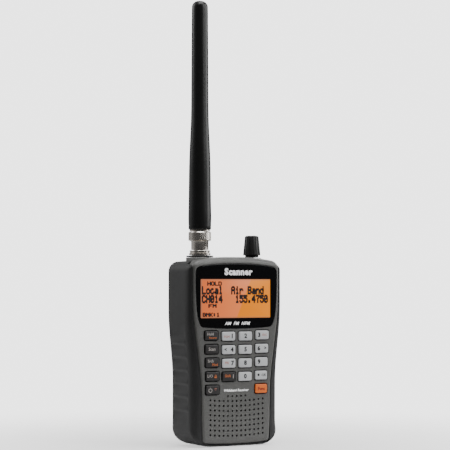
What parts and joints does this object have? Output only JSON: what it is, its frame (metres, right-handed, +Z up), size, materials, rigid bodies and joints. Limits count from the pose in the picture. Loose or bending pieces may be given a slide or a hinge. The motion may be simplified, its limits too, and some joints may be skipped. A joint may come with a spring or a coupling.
{
  "type": "handheld police scanner",
  "caption": "Handheld scanning receiver with ribbed grips, amber display, keypad, speaker grille, volume and squelch knobs, belt clip and detachable rubber antenna on a bayonet connector.",
  "frame": {"origin": "middle of the flat base that the radio stands on", "axes": "+Z up along the antenna, -Y out of the face with the display and keypad, +X to the right as seen from the front"},
  "size_m": [0.0666, 0.04, 0.278],
  "materials": {
    "front_shell": "satin warm grey moulded plastic with a fine speckle",
    "black_shell": "matte black moulded plastic with fine grain",
    "lens_black": "gloss black printed acrylic with a clear window",
    "lcd_amber": "amber backlit liquid crystal panel with dark characters",
    "light_guide": "milky light guide",
    "key_light": "pale grey silicone, satin",
    "key_dark": "dark grey silicone, satin",
    "key_orange": "orange silicone, satin",
    "mat_grey": "matt grey silicone",
    "board_green": "green solder mask on glass-fibre board",
    "tin": "tin-plated steel",
    "screw_steel": "zinc-plated steel",
    "nickel": "bright nickel plate",
    "contact_gold": "gold-plated brass",
    "insulator_white": "white fluoropolymer",
    "antenna_rubber": "smooth satin black rubber",
    "coil_copper": "enamelled copper",
    "gasket_black": "matt black rubber",
    "knob_black": "satin black plastic",
    "speaker_paper": "black pressed paper cone",
    "speaker_felt": "thin black dust cloth",
    "socket_black": "black moulded socket",
    "cell_wrap": "plain printed cell sleeve"
  },
  "bodies": {
    "root": {"front_case": "front_shell", "rear_case": "black_shell", "case_screw_1": "screw_steel", "case_screw_2": "screw_steel", "case_screw_3": "screw_steel", "case_screw_4": "screw_steel", "display_lens": "lens_black", "lcd_glass": "lcd_amber", "backlight_panel": "light_guide", "lcd_frame": "socket_black", "keypad_mat": "mat_grey", "front_board": "board_green", "main_board": "board_green", "rf_shield": "tin", "speaker_frame": "tin", "speaker_cone": "speaker_paper", "speaker_magnet": "tin", "speaker_cloth": "speaker_felt", "antenna_gasket": "gasket_black", "bnc_jack": "nickel", "jack_insulator": "insulator_white", "bnc_nut": "nickel", "control_pot": "tin", "phones_jack": "socket_black", "usb_port": "tin", "battery_1": "cell_wrap", "battery_2": "cell_wrap", "clip_base": "knob_black", "clip_pin": "screw_steel", "clip_spring": "screw_steel"},
    "key_hold": {"key_hold": "key_dark"},
    "key_1": {"key_1": "key_light"},
    "key_2": {"key_2": "key_light"},
    "key_3": {"key_3": "key_light"},
    "key_scan": {"key_scan": "key_dark"},
    "key_4": {"key_4": "key_light"},
    "key_5": {"key_5": "key_light"},
    "key_6": {"key_6": "key_light"},
    "key_search": {"key_search": "key_dark"},
    "key_7": {"key_7": "key_light"},
    "key_8": {"key_8": "key_light"},
    "key_9": {"key_9": "key_light"},
    "key_lockout": {"key_lockout": "key_dark"},
    "key_shift": {"key_shift": "key_dark"},
    "key_0": {"key_0": "key_light"},
    "key_dot": {"key_dot": "key_light"},
    "key_power": {"key_power": "key_dark"},
    "key_function": {"key_function": "key_orange"},
    "volume_control": {"volume_knob": "knob_black", "volume_shaft": "tin"},
    "squelch_control": {"squelch_ring": "knob_black", "squelch_shaft": "tin"},
    "collar": {"coupling_collar": "nickel"},
    "antenna": {"antenna_plug": "nickel", "antenna_pin": "contact_gold", "antenna_sleeve": "antenna_rubber", "antenna_core": "coil_copper"},
    "door": {"battery_door": "black_shell"},
    "type_switch": {"battery_type_switch": "mat_grey"},
    "clip": {"belt_clip_lever": "knob_black"}
  },
  "joints": [
    {"name": "key_hold_press", "type": "slide", "parent": "root", "child": "key_hold", "axis": [0, 1, 0], "range_m": [0, 0.0008], "stiffness_N_per_m": 400, "springref_m": -0.0005},
    {"name": "key_1_press", "type": "slide", "parent": "root", "child": "key_1", "axis": [0, 1, 0], "range_m": [0, 0.0008], "stiffness_N_per_m": 400, "springref_m": -0.0005},
    {"name": "key_2_press", "type": "slide", "parent": "root", "child": "key_2", "axis": [0, 1, 0], "range_m": [0, 0.0008], "stiffness_N_per_m": 400, "springref_m": -0.0005},
    {"name": "key_3_press", "type": "slide", "parent": "root", "child": "key_3", "axis": [0, 1, 0], "range_m": [0, 0.0008], "stiffness_N_per_m": 400, "springref_m": -0.0005},
    {"name": "key_scan_press", "type": "slide", "parent": "root", "child": "key_scan", "axis": [0, 1, 0], "range_m": [0, 0.0008], "stiffness_N_per_m": 400, "springref_m": -0.0005},
    {"name": "key_4_press", "type": "slide", "parent": "root", "child": "key_4", "axis": [0, 1, 0], "range_m": [0, 0.0008], "stiffness_N_per_m": 400, "springref_m": -0.0005},
    {"name": "key_5_press", "type": "slide", "parent": "root", "child": "key_5", "axis": [0, 1, 0], "range_m": [0, 0.0008], "stiffness_N_per_m": 400, "springref_m": -0.0005},
    {"name": "key_6_press", "type": "slide", "parent": "root", "child": "key_6", "axis": [0, 1, 0], "range_m": [0, 0.0008], "stiffness_N_per_m": 400, "springref_m": -0.0005},
    {"name": "key_search_press", "type": "slide", "parent": "root", "child": "key_search", "axis": [0, 1, 0], "range_m": [0, 0.0008], "stiffness_N_per_m": 400, "springref_m": -0.0005},
    {"name": "key_7_press", "type": "slide", "parent": "root", "child": "key_7", "axis": [0, 1, 0], "range_m": [0, 0.0008], "stiffness_N_per_m": 400, "springref_m": -0.0005},
    {"name": "key_8_press", "type": "slide", "parent": "root", "child": "key_8", "axis": [0, 1, 0], "range_m": [0, 0.0008], "stiffness_N_per_m": 400, "springref_m": -0.0005},
    {"name": "key_9_press", "type": "slide", "parent": "root", "child": "key_9", "axis": [0, 1, 0], "range_m": [0, 0.0008], "stiffness_N_per_m": 400, "springref_m": -0.0005},
    {"name": "key_lockout_press", "type": "slide", "parent": "root", "child": "key_lockout", "axis": [0, 1, 0], "range_m": [0, 0.0008], "stiffness_N_per_m": 400, "springref_m": -0.0005},
    {"name": "key_shift_press", "type": "slide", "parent": "root", "child": "key_shift", "axis": [0, 1, 0], "range_m": [0, 0.0008], "stiffness_N_per_m": 400, "springref_m": -0.0005},
    {"name": "key_0_press", "type": "slide", "parent": "root", "child": "key_0", "axis": [0, 1, 0], "range_m": [0, 0.0008], "stiffness_N_per_m": 400, "springref_m": -0.0005},
    {"name": "key_dot_press", "type": "slide", "parent": "root", "child": "key_dot", "axis": [0, 1, 0], "range_m": [0, 0.0008], "stiffness_N_per_m": 400, "springref_m": -0.0005},
    {"name": "key_power_press", "type": "slide", "parent": "root", "child": "key_power", "axis": [0, 1, 0], "range_m": [0, 0.0008], "stiffness_N_per_m": 400, "springref_m": -0.0005},
    {"name": "key_function_press", "type": "slide", "parent": "root", "child": "key_function", "axis": [0, 1, 0], "range_m": [0, 0.0008], "stiffness_N_per_m": 400, "springref_m": -0.0005},
    {"name": "volume_turn", "type": "hinge", "parent": "root", "child": "volume_control", "pos_m": [0.02, 0.001, 0.118], "axis": [0, 0, -1], "range_deg": [-150, 150]},
    {"name": "squelch_turn", "type": "hinge", "parent": "root", "child": "squelch_control", "pos_m": [0.02, 0.001, 0.115], "axis": [0, 0, -1], "range_deg": [-140, 140]},
    {"name": "collar_twist", "type": "hinge", "parent": "root", "child": "collar", "pos_m": [-0.0173, 0.001, 0.127], "axis": [0, 0, 1], "range_deg": [0, 75]},
    {"name": "antenna_swivel", "type": "hinge", "parent": "root", "child": "antenna", "pos_m": [-0.0173, 0.001, 0.133], "axis": [0, 0, 1], "continuous": true},
    {"name": "battery_door_slide", "type": "slide", "parent": "root", "child": "door", "axis": [0, 0, -1], "range_m": [0, 0.006]},
    {"name": "battery_type_slide", "type": "slide", "parent": "root", "child": "type_switch", "axis": [1, 0, 0], "range_m": [0, 0.002]},
    {"name": "belt_clip_open", "type": "hinge", "parent": "root", "child": "clip", "pos_m": [0, 0.0208, 0.096], "axis": [1, 0, 0], "range_deg": [0, 16], "stiffness_Nm_per_rad": 0.6, "springref_deg": -8.59}
  ]
}
